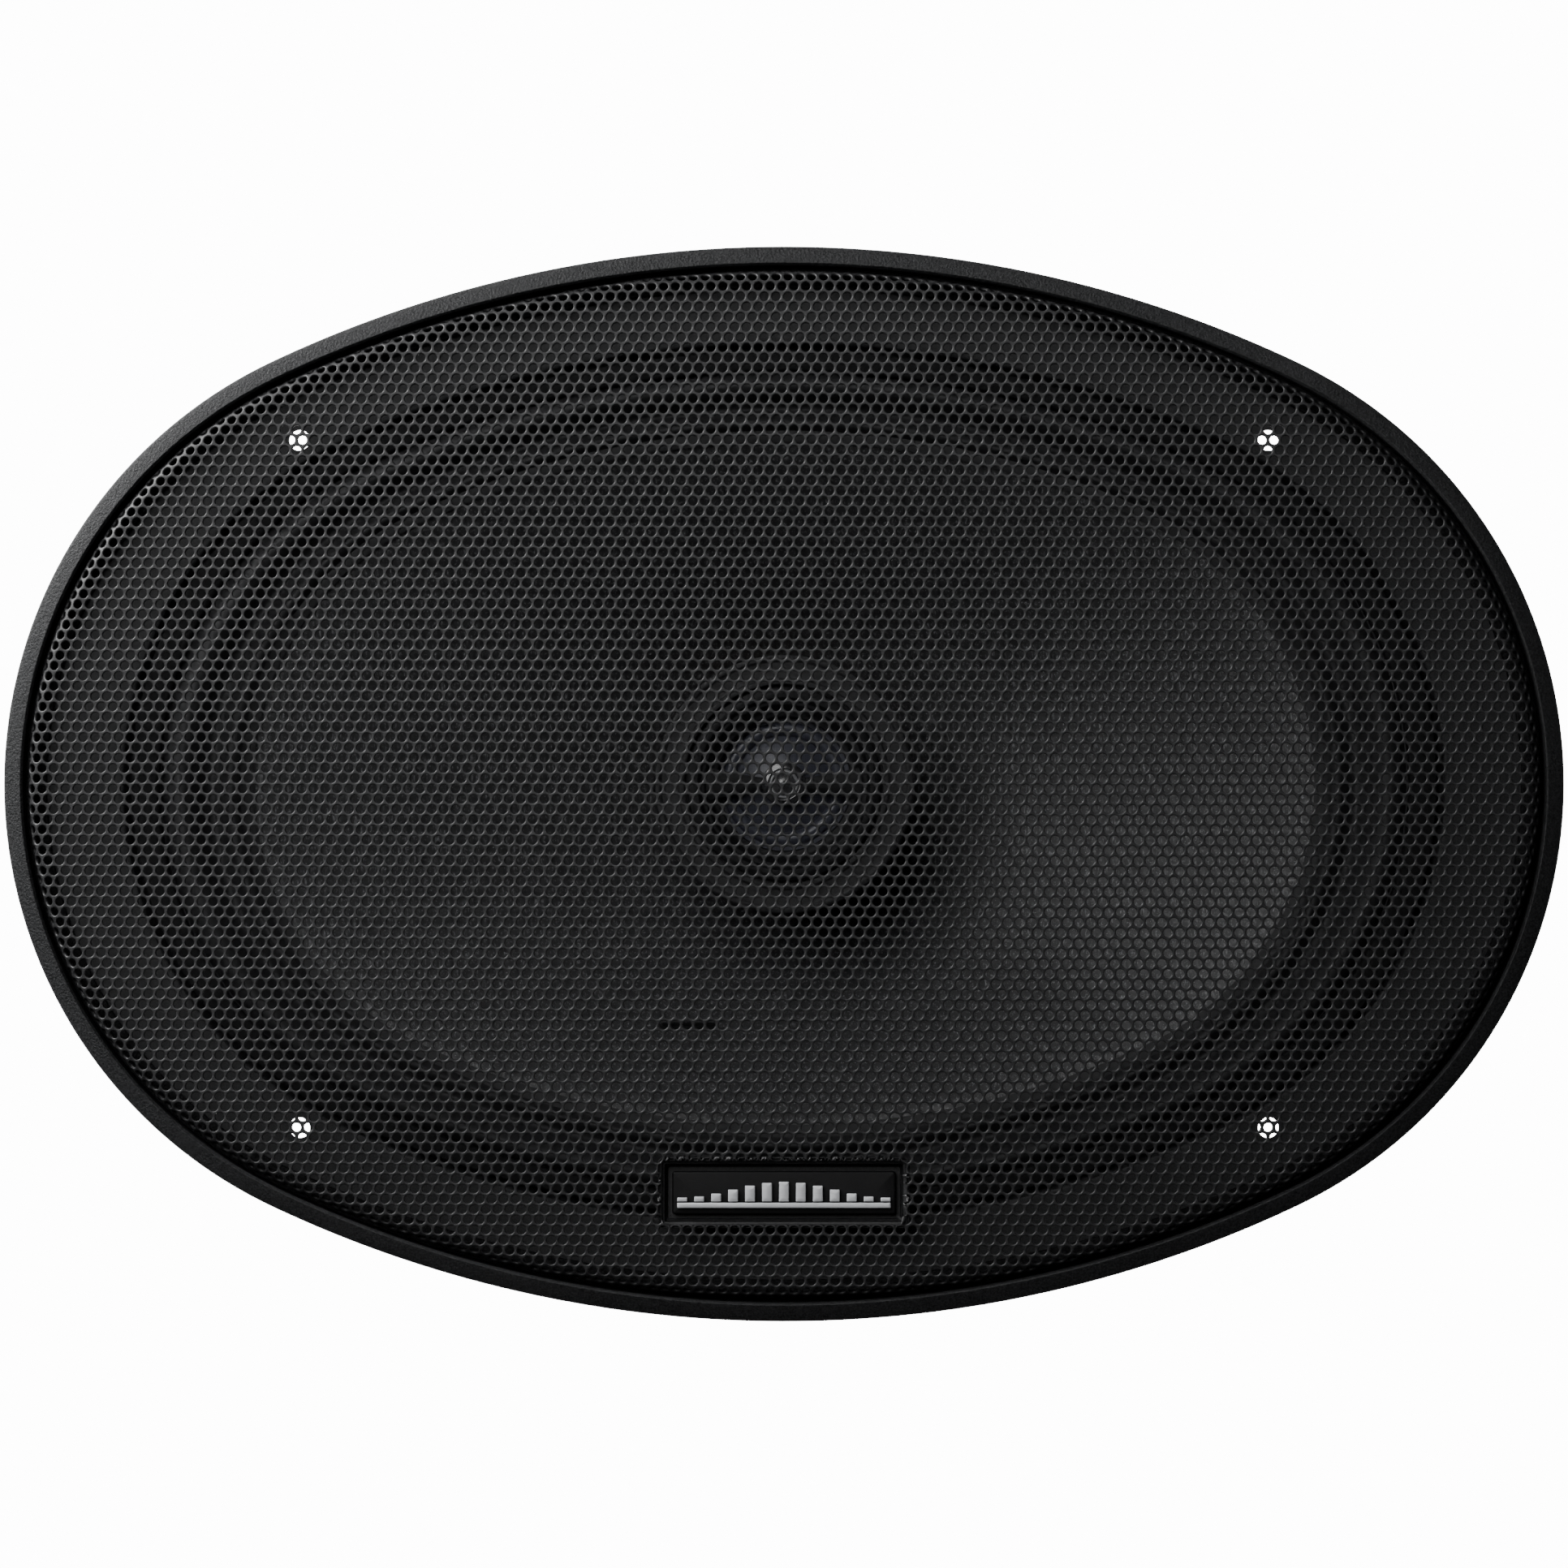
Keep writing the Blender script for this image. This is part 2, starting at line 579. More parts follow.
bezelLow, bezelHigh = span("grille_bezel")
meshLow, meshHigh = span("grille_mesh")
outerLong, outerShort = bezelHigh[0], bezelHigh[1]
cover = {
    "bezelWall": 2.95,  # width of the bezel's face
    "bezelSlope": 0.7,  # fall of the face to its outer edge
    "bezelLip": 3.2,  # shelf under the mesh's skirt
    "lipThick": 1.2,
    "meshInset": 3.67,  # bezel's outer edge to the mesh's skirt
    "meshSheet": 0.6,
    "roll": 2.0,  # radius of the mesh's rolled edge
    "rise": 4.0,  # of the dome over its edge
    "pitch": 1.80,  # between holes in a row
    "hole": 1.38,  # diameter
    "lip": 0.2,  # width of a hole's rounded edge
    "shiftX": -0.26,  # of the whole pattern
    "shiftY": 0.83,
    "around": 12,  # points round a hole
    "crisp": 0.45,  # border edges at least this long stay sharp
    "endPart": 0.42,  # where the end parts of the mesh begin, as a share of its half length
}


def bezelPiece():
    top, low = bezelHigh[2], bezelLow[2]
    wall, shelf = cover["bezelWall"], cover["bezelWall"] + cover["bezelLip"]
    lipTop = meshLow[2] - 0.3
    lipLow = lipTop - cover["lipThick"]
    face = top - cover["bezelSlope"]
    corners = [  # inset from the outer edge, height, corner radius
        (0, low, 0.4), (0, face - 0.25, 0.7), (0.55, face, 0.25), (wall - 0.42, top, 0.12),
        (wall, top - 0.42, 0.15), (wall, lipTop, 0.3), (shelf, lipTop, 0.2), (shelf, lipLow, 0.2),
        (wall, lipLow, 0.3), (wall, low, 0.3),
    ]
    line = np.array(corners)
    section = rounded(line[:, :2], line[:, 2])
    rows = np.column_stack([outerLong - section[:, 0], outerShort - section[:, 0], section[:, 1]])
    grid = ovalSweep(rows, 320)
    Skin().grid(grid, wrapRows=True).piece("bezelRing", bezelPlastic, "grille_cover", ["grille_bezel"])


rollLong = outerLong - cover["meshInset"] - cover["roll"]
rollShort = outerShort - cover["meshInset"] - cover["roll"]
shoulder = meshHigh[2] - cover["rise"]


def domeHeight(x, y):
    return shoulder + cover["rise"] * (1 - ovalShare(x, y, rollLong, rollShort) ** 2)


# Lays a point of the flat sheet on the dome: inside the roll it keeps x and y and takes the dome's
# height, past it the distance bends round a quarter circle, and then runs straight down the skirt.
def drape(x, y):
    away, outX, outY = ovalDistance(x, y, rollLong, rollShort)
    radius = cover["roll"]
    bend = np.clip(away / radius, 0, math.pi / 2)
    skirt = np.maximum(away - radius * math.pi / 2, 0)
    inside = away < 0
    shift = np.where(inside, 0, radius * np.sin(bend) - away)
    down = radius * (1 - np.cos(bend)) + skirt
    height = np.where(inside, domeHeight(x, y), shoulder - down)
    return np.stack([x + outX * shift, y + outY * shift, height], -1)


badgeLow, badgeHigh = span("badge_plate")
badge = {
    "centreY": (badgeLow[1] + badgeHigh[1]) / 2,
    "halfX": (badgeHigh[0] - badgeLow[0]) / 2,
    "halfY": (badgeHigh[1] - badgeLow[1]) / 2,
    "margin": 1.6,  # plate to pocket wall
    "edge": 0.35,
}
pocketX, pocketY = badge["halfX"] + badge["margin"], badge["halfY"] + badge["margin"]


# Hexagonal cells of the perforated sheet, each a ring of quads between its hexagon and its round hole.
# Points beyond the sheet's edge move back onto it, and points in the badge pocket move to its wall.
def meshPieces():
    pitch, around = cover["pitch"], cover["around"]
    reach = cover["roll"] * math.pi / 2 + (shoulder - cover["roll"] - meshLow[2])
    rows, columns = int(outerShort / pitch * 1.3), int(outerLong / pitch * 1.1)
    row, column = np.meshgrid(np.arange(-rows, rows + 1), np.arange(-columns, columns + 1), indexing="ij")
    centreX = ((column + (row % 2) * 0.5) * pitch + cover["shiftX"]).ravel()
    centreY = (row * pitch * math.sqrt(3) / 2 + cover["shiftY"]).ravel()
    kept = ovalDistance(centreX + 1e-6, centreY + 1e-6, rollLong, rollShort)[0] < reach + pitch * 0.3
    inPocket = (np.abs(centreX) < pocketX) & (np.abs(centreY - badge["centreY"]) < pocketY)
    centreX, centreY = centreX[kept & ~inPocket], centreY[kept & ~inPocket]
    angle = np.arange(around) / around * fullTurn
    fromEdge = (angle + math.pi / 6) % (math.pi / 3) - math.pi / 6
    edge = pitch / 2 / np.cos(fromEdge)
    ring = np.stack([edge, np.full(around, cover["hole"] / 2 + cover["lip"]),
        np.full(around, cover["hole"] / 2)])
    x = centreX[:, None, None] + ring * np.cos(angle)
    y = centreY[:, None, None] + ring * np.sin(angle)
    x, y = x + 1e-7, y + 1e-7
    away, outX, outY = ovalDistance(x, y, rollLong, rollShort)
    back = np.maximum(away - reach, 0)
    x, y = x - outX * back, y - outY * back
    deepX, deepY = pocketX - np.abs(x), pocketY - np.abs(y - badge["centreY"])
    inside = (deepX > 0) & (deepY > 0)
    x = np.where(inside & (deepX < deepY), np.sign(x) * pocketX, x)
    y = np.where(inside & (deepX >= deepY), badge["centreY"] + np.sign(y - badge["centreY"]) * pocketY, y)
    points = drape(x, y)
    inner = np.arange(around)
    quad = np.stack([inner, (inner + 1) % around, (inner + 1) % around + around, inner + around], -1)
    quad = np.concatenate([quad, quad + around])
    endPart = outerLong * cover["endPart"]
    sector = np.digitize(centreX, [-endPart, 0, endPart]) + (centreY > 0) * 4
    for number in range(8):
        mine = points[sector == number]
        faces = (np.arange(len(mine))[:, None, None] * 3 * around + quad).reshape(-1, 4)
        skin = Skin().add(mine.reshape(-1, 3), faces)
        look = {"sheet": cover["meshSheet"], "crisp": cover["crisp"]}
        skin.piece(f"meshPart{number + 1}", meshCoat, "grille_cover", ["grille_mesh"], **look)


# The pressed pocket: rectangular loops that bend down from the dome, then run in over a flat floor.
def pocketPan():
    floor = badgeLow[2] - 0.3
    bend = np.linspace(0, math.pi / 2, 5)
    inset = np.concatenate([[-0.05], 0.45 * (1 - np.cos(bend)), [0.6, 1.0, 2.5, pocketY - 0.01]])
    drop = np.concatenate([[0], 0.35 * np.sin(bend) * 0.6, [0.8, 1, 1, 1]])
    rows = []
    for step, share in zip(inset, drop):
        loop = blockLoop(pocketX - step, pocketY - step, 0.3, 0, (0, badge["centreY"]), bend=6)
        top = domeHeight(loop[:, 0], loop[:, 1])
        loop[:, 2] = top + (floor - top) * share
        rows.append(loop)
    skin = Skin().grid(np.stack(rows))
    skin.piece("badgePocket", meshCoat, "grille_cover", ["grille_mesh"], sheet=cover["meshSheet"])


def badgePieces():
    low, high = badgeLow[2], badgeHigh[2]
    plate = blockGrid(badge["halfX"], badge["halfY"], low, high, badge["edge"], (0, badge["centreY"]), 0.5)
    Skin().grid(plate).piece("badgePlate", badgePlastic, "grille_cover", ["badge_plate"])
    barLow, barHigh = span("badge_bars")
    skin = Skin()
    thick, count, wide = barHigh[2] - high, 13, 1.5
    halfX = (barHigh[0] - barLow[0]) / 2
    foot = barLow[1] + 0.4
    skin.grid(blockGrid(halfX, 0.4, high - 0.1, high + thick, 0.1, (0, foot), 0.12))
    pitch = (2 * halfX - wide) / (count - 1)
    for i in range(count):
        swing = math.cos(fullTurn * (i - (count - 1) / 2) / (count - 1))
        tall = 1.9 + 1.2 * swing
        centre = ((i - (count - 1) / 2) * pitch, foot + 0.62 + tall / 2 - 0.1)
        skin.grid(blockGrid(wide / 2, tall / 2 - 0.05, high - 0.1, high + thick, 0.1, centre, 0.12))
    skin.piece("badgeBars", badgeSilver, "grille_cover", ["badge_bars"])


bezelPiece()
meshPieces()
pocketPan()
badgePieces()
print("grille cover made")

# Basket, surround and cone.

gasketLow, gasketHigh = span("surround_gasket")
basketLow, basketHigh = span("basket")
coneLow, coneHigh = span("cone")
formerHigh = span("voice_coil_former")[1]
plateLow, plateHigh = span("top_plate")
woofer = {
    "throatLong": 100.4,  # where the flange steps down
    "throatShort": 66.8,
    "landing": 5.4,  # width of the surround's seat
    "step": 3.0,  # drop from the flange to that seat
    "sheet": 1.2,
    "hole": 1.6,  # radius of a mounting hole
    "holeX": 74.0,
    "holeY": 52.5,
    "ledge": 44.0,  # height of the spider's seat
    "ledgeOuter": 46.0,
    "ledgeInner": 39.0,
    "coneSheet": 0.9,
    "rollRise": 3.4,
    "valley": 1.5,  # shoulder height and valley depth beside the cone
    "valleyShare": 0.5,
    "steps": 288,
    "windows": 12,
    "windowWide": 0.26,  # half width as a share of a window's pitch
    "windowTall": 0.45,  # half height as a share of the sloping wall
}
flangeTop = basketHigh[2]
landingTop = flangeTop - woofer["step"]
landLong = woofer["throatLong"] - woofer["landing"]
landShort = woofer["throatShort"] - woofer["landing"] * 0.72
coneLong, coneShort, coneEdge = coneHigh[0], coneHigh[1], coneHigh[2]


def holePlaces():
    return [(sx * woofer["holeX"], sy * woofer["holeY"]) for sx in (1, -1) for sy in (1, -1)]


# The pressed basket: rows from the flange's edge down to the pot's floor. Each window is a superellipse,
# |u / a|^6 + |v / b|^6 = 1 in shares of its patch, and rings of quads fill the patch outside it.
def basketPiece():
    long, short = basketHigh[0], basketHigh[1]
    throatLong, throatShort = woofer["throatLong"], woofer["throatShort"]
    ledge, outer, inner = woofer["ledge"], woofer["ledgeOuter"], woofer["ledgeInner"]
    floor = basketLow[2] + woofer["sheet"]
    corners = np.array([
        (throatLong + 1.4, throatShort + 1.4, flangeTop, 0.01),
        (throatLong + 0.5, throatShort + 0.5, flangeTop, 0.5),
        (throatLong - 0.3, throatShort - 0.3, landingTop, 0.6),
        (landLong, landShort, landingTop, 0.8),
        (landLong - 2.6, landShort - 2.0, landingTop - 2.4, 0.8),
        (landLong - 6.0, landShort - 3.0, landingTop - 5.0, 0.5),
        (outer + 5.5, outer + 2.4, ledge + 5.5, 0.8),
        (outer, outer, ledge + 2.2, 0.8),
        (outer, outer, ledge, 0.7),
        (inner, inner, ledge, 0.7),
        (inner - 1.5, inner - 1.5, floor, 0.8),
        (24.5, 24.5, floor, 0.01),
    ])
    line = rounded(corners[:, :3], corners[:, 3], loop=False, bend=3)
    steps, count, rows = woofer["steps"], woofer["windows"], 24
    wide = steps // count  # columns for each window
    grid = ovalSweep(line, steps)
    skin = Skin().grid(grid[:24]).grid(grid[24:])
    top, foot = line[23], line[24]
    slope = ovalSweep(top + (foot - top) * np.linspace(0, 1, rows + 1)[:, None], steps)
    over, down = np.arange(wide) / wide - 0.5, np.arange(rows) / rows - 0.5
    u = np.concatenate([over, np.full(rows, 0.5), -over, np.full(rows, -0.5)])
    v = np.concatenate([np.full(wide, -0.5), down, np.full(wide, 0.5), -down])
    size = ((np.abs(u) / woofer["windowWide"]) ** 6 + (np.abs(v) / woofer["windowTall"]) ** 6) ** (-1 / 6)
    share = (v * size + 0.5)[:, None]
    oval = top + (foot - top) * share
    for number in range(count):
        first = wide // 2 + wide * number
        border = blockBorder(slope, 0, rows, first, first + wide)
        turn = ((number + 1 + u * size) / count) % 1
        x, y = ovalPoints(oval[:, 0], oval[:, 1], turn)
        skin.grid(between(border, np.stack([x, y, oval[:, 2]], -1)))
    edge = ovalSweep([[long, short, flangeTop], [throatLong + 1.4, throatShort + 1.4, flangeTop]], steps)
    flange = between(edge[0], edge[1], 13)
    skip = np.zeros((12, steps), bool)
    for x, y in holePlaces():
        near = np.hypot(flange[6, :, 0] - x, flange[6, :, 1] - y)
        first = int(np.argmin(near)) - 3
        skip[:, np.arange(first, first + 6) % steps] = True
        border = blockBorder(flange, 0, 12, first, first + 6)
        away = border - [x, y, flangeTop]
        hole = [x, y, flangeTop] + away / np.linalg.norm(away, axis=1, keepdims=True) * woofer["hole"]
        skin.grid(between(border, hole))
    skin.grid(flange, skip=skip)
    skin.piece("basketShell", basketCoat, "speaker_frame", ["basket"], sheet=woofer["sheet"], crease=50)


def baseRingPiece():
    low, high = span("grille_base_ring")
    rim, plate = 1.4, 1.6
    openLong, openShort = woofer["throatLong"] + 1.8, woofer["throatShort"] + 1.8
    long, short = high[0], high[1]
    corners = np.array([
        (openLong, openShort, low[2]), (long, short, low[2]), (long, short, high[2]),
        (long - rim, short - rim, high[2]), (long - rim, short - rim, low[2] + plate),
        (openLong, openShort, low[2] + plate),
    ])
    line = rounded(corners, np.full(6, 0.35), bend=2)
    grid = ovalSweep(line, 720)
    # each screw's notch: the opening's edge runs round the far side of a circle, n = sqrt(3^2 - t^2)
    edge = np.array([0, 1, 2, 15, 16, 17])
    for x, y in holePlaces():
        _, outX, outY = ovalDistance(np.array([x]), np.array([y]), openLong, openShort)
        dx, dy = grid[edge, :, 0] - x, grid[edge, :, 1] - y
        aside, out = dx * outY - dy * outX, dx * outX + dy * outY
        near = (np.abs(aside) < 3.0) & (np.hypot(dx, dy) < 4.5)
        move = np.where(near, np.sqrt(np.maximum(9.0 - aside**2, 0)) - out, 0)
        grid[edge, :, 0] += move * outX
        grid[edge, :, 1] += move * outY
    Skin().grid(grid, wrapRows=True).piece("baseRing", tweeterPlastic, "speaker_frame", ["grille_base_ring"])


def gasketPiece():
    low, high = gasketLow[2], gasketHigh[2]
    long, short = gasketHigh[0], gasketHigh[1]
    corners = np.array([
        (long - 4.2, short - 3.0, low), (long, short, low), (long + 0.2, short + 0.2, high - 0.1),
        (long - 4.2, short - 3.0, high),
    ])
    line = rounded(corners, np.array([0.2, 0.3, 0.35, 0.9]), bend=4)
    turn = np.arange(320) / 320
    grid = ovalSweep(line, 320)
    grid[..., 2] += 0.12 * np.sin(turn * fullTurn * 9)[None, :] * (grid[..., 2] > (low + high) / 2)
    Skin().grid(grid, wrapRows=True).piece("gasketRing", gasketFoam, "speaker_frame", ["surround_gasket"])


# Surround: a low shoulder beside the cone, a valley, then the main roll. In shares s of the way across,
# height = lip to seat + valley * sin(2 pi s / turn) up to the turn,
# and past it lip to seat + rise * sin(pi (s - turn) / (1 - turn)) ^ 0.8.
def surroundPiece():
    lip, seat = coneEdge + 0.9, landingTop + 0.9
    inLong, inShort = coneLong + 0.6, coneShort + 0.6
    outLong, outShort = landLong + 0.2, landShort + 0.2
    share, turn = np.linspace(0, 1, 41), woofer["valleyShare"]
    early, late = np.minimum(share / turn, 1), np.maximum((share - turn) / (1 - turn), 0)
    rise = woofer["valley"] * np.sin(early * fullTurn) + woofer["rollRise"] * np.sin(late * math.pi) ** 0.8
    roll = np.column_stack([inLong + (outLong - inLong) * share, inShort + (outShort - inShort) * share,
                            lip + (seat - lip) * share + rise])
    start = [[coneLong - 1.3, coneShort - 1.3, lip - 0.25], [coneLong - 0.9, coneShort - 0.9, lip]]
    end = [[woofer["throatLong"] - 1.0, woofer["throatShort"] - 1.0, seat]]
    line = np.vstack([start, roll, end])
    skin = Skin().grid(ovalSweep(line, woofer["steps"]))
    made = skin.piece("surroundRoll", surroundRubber, None, ["surround"], sheet=0.6, crease=60)
    spread = np.clip((np.arange(len(line)) - 2) / (len(roll) - 1), 0, 1)
    followCone(made, lambda x, y, z: ringShare(x, y, line, spread))


# For each point, the value that its own row of the section holds, by the row's oval through the point.
def ringShare(x, y, line, values):
    best = np.full(len(x), np.inf)
    result = np.zeros(len(x))
    for row, value in zip(line, values):
        off = np.abs(ovalDistance(x, y, row[0], row[1])[0])
        result = np.where(off < best, value, result)
        best = np.minimum(best, off)
    return result


# Bends a flexible piece between the cone and the frame: 0 follows the cone and 1 the frame.
def followCone(made, rule):
    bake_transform(made)
    count = len(made.data.vertices)
    points = np.empty(count * 3)
    made.data.vertices.foreach_get("co", points)
    x, y, z = (points.reshape(-1, 3) / mm).T
    share = np.clip(rule(x, y, z), 0, 1)


# Cone: from neck to edge the height eases as 1.28 s - 0.28 s^2, and ends in a flat glue lip.
def conePiece():
    neck, low = formerHigh[0] + 0.3, coneLow[2] + woofer["coneSheet"] + 0.02
    lip, share = 1.3, np.linspace(0, 1, 30)
    line = np.column_stack([
        neck + (coneLong - lip - neck) * share,
        neck + (coneShort - lip - neck) * share,
        low + (coneEdge - low) * (1.28 * share - 0.28 * share**2),
    ])
    line = np.vstack([line, [coneLong - 0.02, coneShort - 0.02, coneEdge]])
    skin = Skin().grid(ovalSweep(line, 256))
    skin.piece("coneShell", coneFibre, "woofer_cone", ["cone"], sheet=woofer["coneSheet"], crease=60)
    # a bead of glue laid on the cone: its height comes from the cone's own rows
    bead = blockGrid(4.6, 0.65, 0, 0.7, 0.25, (-14.7, -37.4), 0.6, bend=4)
    spot = ringShare(bead[..., 0].ravel(), bead[..., 1].ravel(), line, line[:, 2])
    bead[..., 2] += spot.reshape(bead.shape[:2]) - 0.2
    Skin().grid(bead).piece("coneBead", gasketFoam, "woofer_cone", ["cone"])


# Spider: a turned sheet whose height swings as sin(pi * share of a corrugation), dipped cloth.
def spiderPiece():
    inner, start, end = formerHigh[0] + 0.3, formerHigh[0] + 2.7, woofer["ledgeInner"] - 0.6
    base, waves, swing = woofer["ledge"] + 0.8, 5, 1.15
    share = np.linspace(0, 1, 61)
    wave = swing * np.sin(share * waves * fullTurn) * np.sin(share * math.pi) ** 0.25
    body = np.column_stack([start + (end - start) * share, base + wave])
    line = np.vstack([[[inner, base + 1.6], [inner + 1.0, base + 0.6]], body,
        [[woofer["ledgeOuter"] - 0.6, base]]])
    skin = Skin().grid(turnSweep(line, 120))
    made = skin.piece("spiderDisc", spiderCloth, None, ["spider"], sheet=0.5, crease=60)
    followCone(made, lambda x, y, z: (np.hypot(x, y) - start) / (end - start))


# Motor.

bootHigh = span("magnet_boot")[1]
magnetLow, magnetHigh = span("ferrite_magnet")
yokeLow, yokeHigh = span("yoke_and_pole")
motor = {"bootWall": 2.2, "bootFloor": 2.0, "plateBore": 20.0, "pole": 17.4, "poleBore": 5.0, "nut": 7.6,
         "yokePlate": 7.0}


def turnedPiece(name, corners, finish, body, nodes, steps=96, bend=3, crease=35, centre=(0, 0)):
    corners = np.array(corners, float)
    line = rounded(corners[:, :2], corners[:, 2], bend=bend)
    Skin().grid(turnSweep(line, steps, centre), wrapRows=True).piece(name, finish, body, nodes, crease=crease)


# The boot's wall swells out over the lead's channel, as a smooth hump round its angle.
def bootPiece():
    outer, rim, vent = bootHigh[0], bootHigh[2], motor["nut"] + 2
    inner, floor = outer - motor["bootWall"], motor["bootFloor"]
    corners = np.array([
        (vent, 0, 0.6), (20, 0, 0.3), (20.6, 0.5, 0.3), (23, 0.5, 0.3), (23.6, 0, 0.3), (outer, 0, 2.6),
        (outer, rim * 0.42, 0.3), (outer - 0.5, rim * 0.46, 0.3), (outer - 0.5, rim * 0.54, 0.3),
        (outer, rim * 0.58, 0.3), (outer, rim, 1.1), (inner, rim, 0.3), (inner, floor, 0.5),
        (vent, floor, 0.6),
    ])
    line = rounded(corners[:, :2], corners[:, 2], bend=4)
    grid = turnSweep(line, 192)
    radius = np.hypot(grid[..., 0], grid[..., 1])
    across = np.abs(grid[..., 0])
    hump = np.clip((4.6 - across) / 2.4, 0, 1)
    hump = hump * hump * (3 - 2 * hump) * (grid[..., 1] < 0) * np.clip((radius - 40) / 6, 0, 1)
    grid[..., 1] -= hump * 2.3
    Skin().grid(grid, wrapRows=True).piece("magnetBoot", bootRubber, "speaker_frame", ["magnet_boot"])


def motorPieces():
    body, edge = "speaker_frame", magnetHigh[0]
    low, high = magnetLow[2], magnetHigh[2]
    turnedPiece("magnetRing", [(25, low, 0.4), (edge, low, 1.2), (edge, high, 1.2), (25, high, 0.4)],
                ferriteGrey, body, ["ferrite_magnet"], 128)
    low, high, edge = plateLow[2], plateHigh[2], plateHigh[0]
    turnedPiece("topPlate", [(motor["plateBore"], low, 0.3), (edge, low, 0.5), (edge, high, 0.5),
        (motor["plateBore"], high, 0.3)],
                zincPlate, body, ["top_plate"], 128)
    low, top, plate = yokeLow[2], yokeHigh[2], yokeLow[2] + motor["yokePlate"]
    bore, pole, pocket = motor["poleBore"], motor["pole"], motor["nut"] + 1.2
    edge = yokeHigh[0]
    yokeLine = [(bore, low + 6.1, 0.3), (pocket, low + 6.1, 0.4), (pocket, low, 0.4), (edge, low, 1.0),
        (edge, plate, 0.6),
                (pole, plate, 0.6), (pole, top, 0.8), (bore, top, 0.4)]
    turnedPiece("yokeAndPole", yokeLine, zincPlate, body, ["yoke_and_pole"], 128)
    for number in range(1, 5):
        node = f"basket_rivet_{number}"
        low, high = span(node)
        middle, head = (low + high) / 2, high[0] - (low[0] + high[0]) / 2
        seat = high[2] - 1.4
        line = [(0, low[2], 0.01), (2.0, low[2], 0.3), (2.0, seat, 0.1), (head, seat, 0.3),
            (head * 0.8, high[2] - 0.2, 0.6),
                (1.3, high[2], 0.3), (0.9, high[2] - 0.7, 0.3), (0, high[2] - 0.8, 0.01)]
        turnedPiece(f"basketRivet{number}", line, zincPlate, body, [node], 32, centre=middle[:2])
    low, high = span("voice_coil_former")
    former = [(high[0] - 0.5, low[2], 0.1), (high[0], low[2], 0.1), (high[0], high[2], 0.1),
        (high[0] - 0.5, high[2], 0.1)]
    turnedPiece("coilFormer", former, amberFilm, "woofer_cone", ["voice_coil_former"], 96)
    low, high = span("voice_coil")
    turns = np.linspace(0, 1, 97)
    outside = high[0] - 0.08 + 0.08 * np.abs(np.sin(turns * 24 * math.pi))
    outside = np.column_stack([outside, low[2] + (high[2] - low[2]) * turns])
    inside = [[high[0] - 0.6, high[2]], [high[0] - 0.6, low[2]]]
    winding = Skin().grid(turnSweep(np.vstack([outside, inside]), 64), wrapRows=True)
    winding.piece("coilWinding", copperWire, "woofer_cone", ["voice_coil"])
    low, high = span("tweeter_post_nut")
    flats = np.arange(6) / 6 * fullTurn + math.pi / 2
    hexagon = np.stack([np.cos(flats), np.sin(flats)], -1) * motor["nut"]
    rows = [(0.93, low[2]), (1, low[2] + 0.4), (1, high[2] - 0.4), (0.93, high[2])]
    outer = np.stack([np.column_stack([hexagon * size, np.full(6, z)]) for size, z in rows])
    outer = outer[:, :, None] + (np.roll(outer, -1, 1) - outer)[:, :, None] * np.linspace(0, 1, 8,
        endpoint=False)[None, None, :, None]
    outer = outer.reshape(4, -1, 3)
    angle = np.arctan2(outer[0, :, 1], outer[0, :, 0])
    bore = [np.column_stack([4.9 * np.cos(angle), 4.9 * np.sin(angle),
        np.full(len(angle), z)]) for z in (high[2], low[2])]
    nut = Skin().grid(np.concatenate([outer, bore]), wrapRows=True)
    nut.piece("postNut", zincPlate, body, ["tweeter_post_nut"], crease=20)
    low, high = span("tweeter_post")
    radius, seat = high[0], yokeHigh[2] + 0.3
    post = [(3.0, low[2], 0.2), (4.6, low[2], 0.4), (4.6, seat, 0.2), (radius, seat, 0.3),
        (radius, high[2], 0.3), (3.0, high[2], 0.2)]
    turnedPiece("tweeterPost", post, tweeterPlastic, body, ["tweeter_post"], 48)


# Tweeter.

cupLow, cupHigh = span("tweeter_cup")
ringLow, ringHigh = span("tweeter_front_ring")
faceLow, faceHigh = span("tweeter_faceplate")
domeLow = span("tweeter_dome")[0]
tweeter = {"centre": 73.0, "ball": 17.0, "socket": 18.8, "face": 8.0, "dome": 7.4, "roll": 1.1, "rise": 2.1,
           "button": 3.4, "buttonRing": 2.0, "ringInner": 17.3}


# Points on a circle round the ball's centre from one height to another: radius sqrt(R^2 - h^2).
def zone(radius, start, end, steps):
    height = np.linspace(start, end, steps)
    return np.column_stack([np.sqrt(radius**2 - height**2), tweeter["centre"] + height, np.full(steps, 0.01)])


